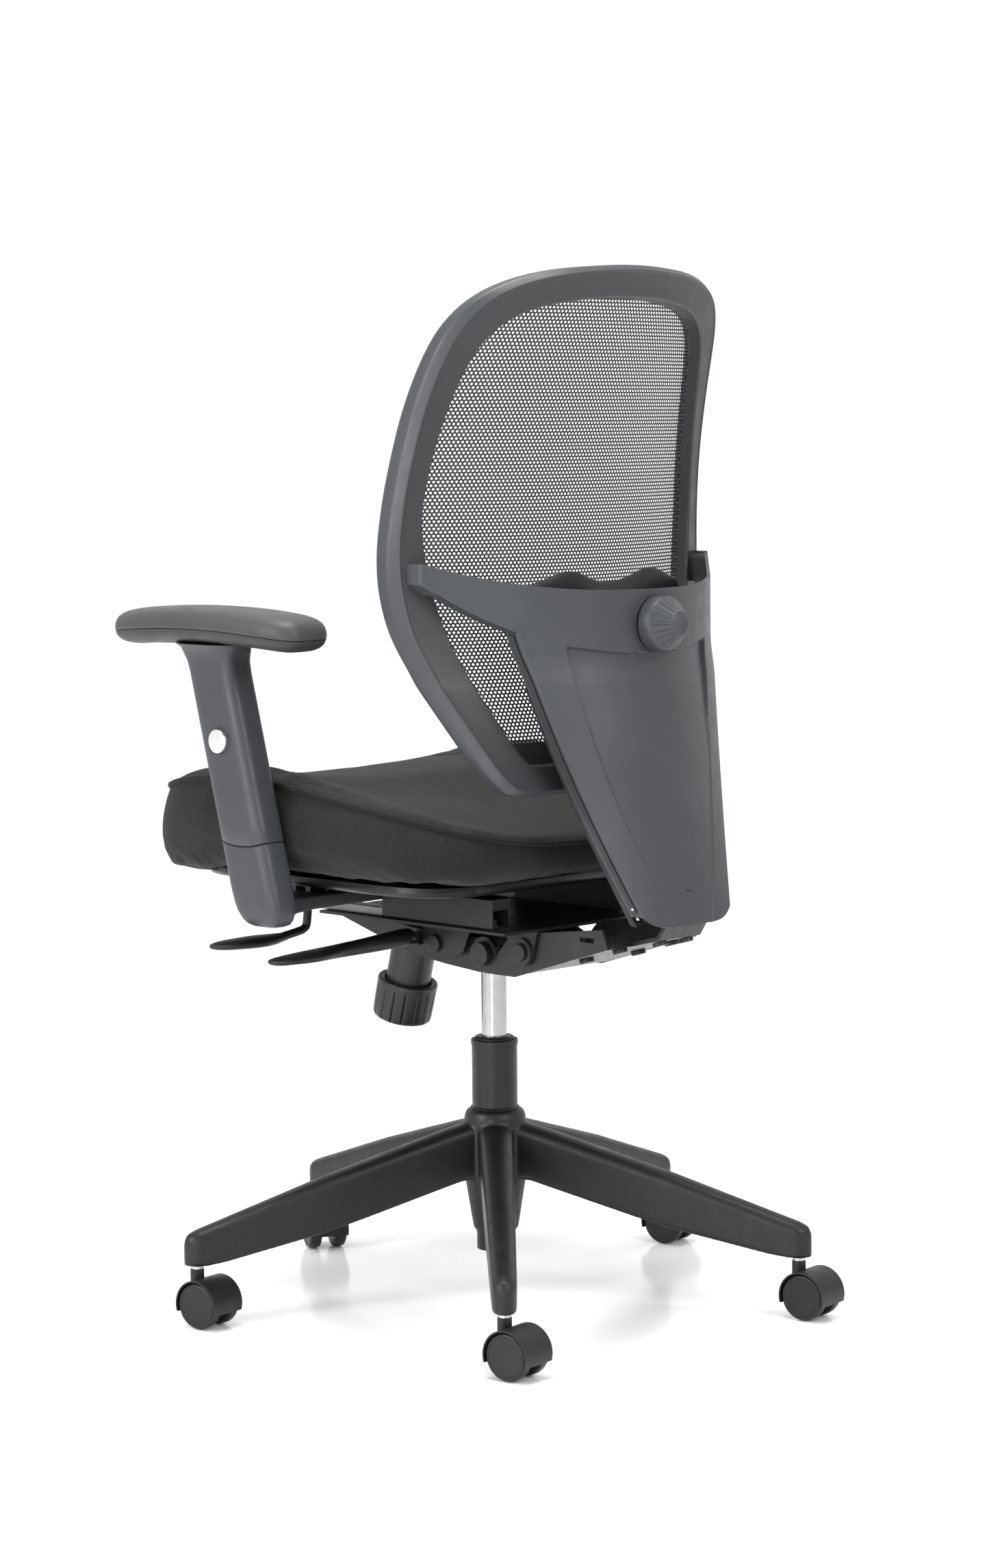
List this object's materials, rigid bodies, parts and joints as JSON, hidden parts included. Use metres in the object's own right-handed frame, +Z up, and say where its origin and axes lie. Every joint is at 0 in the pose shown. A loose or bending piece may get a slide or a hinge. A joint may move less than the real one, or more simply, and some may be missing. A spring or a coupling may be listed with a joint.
{
  "type": "office chair",
  "caption": "Swivel task chair with a mesh back on a spine shell, upholstered seat, height-adjustable arms, gas lift and a star base on casters.",
  "frame": {"origin": "on the floor, on the axis of the gas lift", "axes": "+Z up; the chair faces -Y, so +Y is behind the sitter; +X is the sitter's left"},
  "size_m": [0.6932, 0.7034, 1.122],
  "materials": {
    "nylon_black": "fine texture",
    "shell_plastic": "satin, fine texture",
    "cover_plastic": "satin, fine texture",
    "pad_plastic": "soft skin, fine texture",
    "pan_plastic": "plain",
    "steel_satin": "satin",
    "steel_zinc": "zinc plated",
    "steel_black": "semi-gloss black",
    "button_silver": "satin chrome",
    "seat_fabric": "fine woven cloth",
    "mesh_fabric": "open knitted mesh"
  },
  "bodies": {
    "base": {"star_base": "nylon_black", "column_tube": "nylon_black", "column_bush": "steel_satin", "caster_stems": "steel_satin"},
    "caster_1": {"caster_1_hood": "nylon_black", "caster_1_axle": "steel_satin"},
    "wheel_1a": {"caster_1_wheel_a": "nylon_black"},
    "wheel_1b": {"caster_1_wheel_b": "nylon_black"},
    "caster_2": {"caster_2_hood": "nylon_black", "caster_2_axle": "steel_satin"},
    "wheel_2a": {"caster_2_wheel_a": "nylon_black"},
    "wheel_2b": {"caster_2_wheel_b": "nylon_black"},
    "caster_3": {"caster_3_hood": "nylon_black", "caster_3_axle": "steel_satin"},
    "wheel_3a": {"caster_3_wheel_a": "nylon_black"},
    "wheel_3b": {"caster_3_wheel_b": "nylon_black"},
    "caster_4": {"caster_4_hood": "nylon_black", "caster_4_axle": "steel_satin"},
    "wheel_4a": {"caster_4_wheel_a": "nylon_black"},
    "wheel_4b": {"caster_4_wheel_b": "nylon_black"},
    "caster_5": {"caster_5_hood": "nylon_black", "caster_5_axle": "steel_satin"},
    "wheel_5a": {"caster_5_wheel_a": "nylon_black"},
    "wheel_5b": {"caster_5_wheel_b": "nylon_black"},
    "lift_rod": {"piston_rod": "steel_satin", "thrust_bearing": "steel_zinc"},
    "mechanism": {"gas_cylinder": "steel_satin", "mech_housing": "steel_black", "mech_bolts": "steel_zinc", "spring_boss": "nylon_black", "tilt_spring": "steel_satin", "lever_brackets": "steel_black"},
    "valve": {"valve_pin": "steel_zinc"},
    "tension_knob": {"tension_knob": "nylon_black"},
    "tilt_lever": {"tilt_lever": "nylon_black"},
    "gas_lever": {"gas_lever": "nylon_black"},
    "back": {"back_arm": "steel_black", "back_arm_bolts": "steel_black", "rear_pins": "steel_zinc", "back_shell": "shell_plastic", "spine_cover": "cover_plastic", "back_frame": "shell_plastic", "back_mesh": "mesh_fabric"},
    "lumbar_knob": {"lumbar_knob": "shell_plastic"},
    "lumbar": {"lumbar_pad": "nylon_black", "lumbar_screw": "steel_zinc"},
    "seat_frame": {"seat_plate": "steel_black", "lower_rails": "steel_zinc"},
    "seat": {"upper_rails": "steel_black", "seat_pan": "pan_plastic", "seat_cushion": "seat_fabric", "left_arm_base": "shell_plastic", "right_arm_base": "shell_plastic"},
    "slide_lever": {"slide_lever": "nylon_black"},
    "left_arm": {"left_arm_sleeve": "shell_plastic", "left_arm_pad": "pad_plastic"},
    "left_button": {"left_arm_button": "button_silver"},
    "right_arm": {"right_arm_sleeve": "shell_plastic", "right_arm_pad": "pad_plastic"},
    "right_button": {"right_arm_button": "button_silver"}
  },
  "joints": [
    {"name": "seat_swivel", "type": "hinge", "parent": "base", "child": "lift_rod", "pos_m": [0, 0, 0.07], "axis": [0, 0, 1], "continuous": true},
    {"name": "seat_height", "type": "slide", "parent": "lift_rod", "child": "mechanism", "axis": [0, 0, 1], "range_m": [-0.06, 0.06]},
    {"name": "valve_press", "type": "slide", "parent": "mechanism", "child": "valve", "axis": [0, 0, -1], "range_m": [0, 0.003]},
    {"name": "tension_turn", "type": "hinge", "parent": "mechanism", "child": "tension_knob", "pos_m": [0, -0.124, 0.384], "axis": [0, 0.2588, 0.9659], "range_deg": [0, 1080]},
    {"name": "tilt_lever_lift", "type": "hinge", "parent": "mechanism", "child": "tilt_lever", "pos_m": [0.086, -0.046, 0.406], "axis": [0, -1, 0], "range_deg": [0, 8]},
    {"name": "gas_lever_lift", "type": "hinge", "parent": "mechanism", "child": "gas_lever", "pos_m": [-0.086, -0.046, 0.406], "axis": [0, 1, 0], "range_deg": [0, 8], "stiffness_Nm_per_rad": 2, "springref_deg": -5.73},
    {"name": "back_recline", "type": "hinge", "parent": "mechanism", "child": "back", "pos_m": [0, 0.054, 0.395], "axis": [-1, 0, 0], "range_deg": [0, 20], "stiffness_Nm_per_rad": 60, "springref_deg": -20.05},
    {"name": "seat_tilt", "type": "hinge", "parent": "back", "child": "seat_frame", "pos_m": [0, 0.116, 0.403], "axis": [-1, 0, 0], "range_deg": [-10.7, 0]},
    {"name": "seat_slide", "type": "slide", "parent": "seat_frame", "child": "seat", "axis": [0, -1, 0], "range_m": [0, 0.05]},
    {"name": "slide_lever_lift", "type": "hinge", "parent": "seat", "child": "slide_lever", "pos_m": [0.173, -0.1097, 0.45], "axis": [0, -1, 0], "range_deg": [0, 6], "stiffness_Nm_per_rad": 2, "springref_deg": -5.73},
    {"name": "left_arm_height", "type": "slide", "parent": "seat", "child": "left_arm", "axis": [0, -0.2607, 0.9654], "range_m": [0, 0.07]},
    {"name": "left_button_press", "type": "slide", "parent": "left_arm", "child": "left_button", "axis": [-1, 0, 0], "range_m": [0, 0.003], "stiffness_N_per_m": 800, "springref_m": -0.002},
    {"name": "right_arm_height", "type": "slide", "parent": "seat", "child": "right_arm", "axis": [0, -0.2607, 0.9654], "range_m": [0, 0.07]},
    {"name": "right_button_press", "type": "slide", "parent": "right_arm", "child": "right_button", "axis": [1, 0, 0], "range_m": [0, 0.003], "stiffness_N_per_m": 800, "springref_m": -0.002},
    {"name": "lumbar_turn", "type": "hinge", "parent": "back", "child": "lumbar_knob", "pos_m": [0, 0.242, 0.752], "axis": [0, 1, 0], "range_deg": [0, 720]},
    {"name": "lumbar_slide", "type": "slide", "parent": "back", "child": "lumbar", "axis": [0, -1, 0], "range_m": [0, 0.015]},
    {"name": "caster_1_swivel", "type": "hinge", "parent": "base", "child": "caster_1", "pos_m": [0.2349, 0.24581, 0.05], "axis": [0, 0, 1], "continuous": true},
    {"name": "wheel_1a_roll", "type": "hinge", "parent": "caster_1", "child": "wheel_1a", "pos_m": [0.23267, 0.26165, 0.025], "axis": [-0.9903, -0.1392, 0], "continuous": true},
    {"name": "wheel_1b_roll", "type": "hinge", "parent": "caster_1", "child": "wheel_1b", "pos_m": [0.23267, 0.26165, 0.025], "axis": [-0.9903, -0.1392, 0], "continuous": true},
    {"name": "caster_2_swivel", "type": "hinge", "parent": "base", "child": "caster_2", "pos_m": [-0.16119, 0.29936, 0.05], "axis": [0, 0, 1], "continuous": true},
    {"name": "wheel_2a_roll", "type": "hinge", "parent": "caster_2", "child": "wheel_2a", "pos_m": [-0.16342, 0.31521, 0.025], "axis": [-0.9903, -0.1392, 0], "continuous": true},
    {"name": "wheel_2b_roll", "type": "hinge", "parent": "caster_2", "child": "wheel_2b", "pos_m": [-0.16342, 0.31521, 0.025], "axis": [-0.9903, -0.1392, 0], "continuous": true},
    {"name": "caster_3_swivel", "type": "hinge", "parent": "base", "child": "caster_3", "pos_m": [-0.33452, -0.06079, 0.05], "axis": [0, 0, 1], "continuous": true},
    {"name": "wheel_3a_roll", "type": "hinge", "parent": "caster_3", "child": "wheel_3a", "pos_m": [-0.33675, -0.04495, 0.025], "axis": [-0.9903, -0.1392, 0], "continuous": true},
    {"name": "wheel_3b_roll", "type": "hinge", "parent": "caster_3", "child": "wheel_3b", "pos_m": [-0.33675, -0.04495, 0.025], "axis": [-0.9903, -0.1392, 0], "continuous": true},
    {"name": "caster_4_swivel", "type": "hinge", "parent": "base", "child": "caster_4", "pos_m": [-0.04555, -0.33693, 0.05], "axis": [0, 0, 1], "continuous": true},
    {"name": "wheel_4a_roll", "type": "hinge", "parent": "caster_4", "child": "wheel_4a", "pos_m": [-0.03804, -0.32281, 0.025], "axis": [-0.8829, 0.4695, 0], "continuous": true},
    {"name": "wheel_4b_roll", "type": "hinge", "parent": "caster_4", "child": "wheel_4b", "pos_m": [-0.03804, -0.32281, 0.025], "axis": [-0.8829, 0.4695, 0], "continuous": true},
    {"name": "caster_5_swivel", "type": "hinge", "parent": "base", "child": "caster_5", "pos_m": [0.30637, -0.14744, 0.05], "axis": [0, 0, 1], "continuous": true},
    {"name": "wheel_5a_roll", "type": "hinge", "parent": "caster_5", "child": "wheel_5a", "pos_m": [0.30414, -0.1316, 0.025], "axis": [-0.9903, -0.1392, 0], "continuous": true},
    {"name": "wheel_5b_roll", "type": "hinge", "parent": "caster_5", "child": "wheel_5b", "pos_m": [0.30414, -0.1316, 0.025], "axis": [-0.9903, -0.1392, 0], "continuous": true}
  ],
  "couplings": [
    {"joint": "seat_tilt", "follows": "back_recline", "ratio": -0.53},
    {"joint": "valve_press", "follows": "gas_lever_lift", "m_per_rad": 0.0214},
    {"joint": "lumbar_turn", "follows": "lumbar_slide", "rad_per_m": 833.33}
  ]
}
